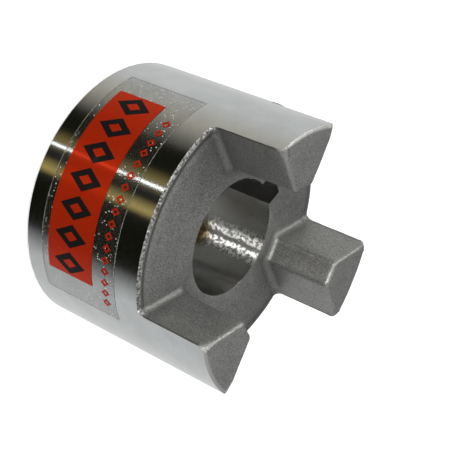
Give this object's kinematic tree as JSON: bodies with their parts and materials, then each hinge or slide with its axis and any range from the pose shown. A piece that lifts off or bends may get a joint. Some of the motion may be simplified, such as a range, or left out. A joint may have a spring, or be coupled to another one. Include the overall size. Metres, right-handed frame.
{
  "type": "jaw coupling hub",
  "caption": "Half of a jaw coupling: a cast hub with upright jaws, a turned outside carrying a clear label, and a keyed bore with a grub screw.",
  "frame": {"origin": "centre of the machined rear face, on the bore's axis", "axes": "+Z along the bore's axis from the rear face towards the jaw tips, +X through the middle of one jaw, -X through the keyway and the grub screw"},
  "size_m": [0.0842, 0.0846, 0.0671],
  "materials": {
    "hub_iron": "fine blasted cast jaws and floor, turned outside and bored bore with a bright satin",
    "screw_steel": "black oxide",
    "label_film": "clear gloss film with an orange-red printed field"
  },
  "bodies": {
    "root": {"hub": "hub_iron", "grub_screw": "screw_steel", "label_film": "label_film"}
  },
  "joints": []
}
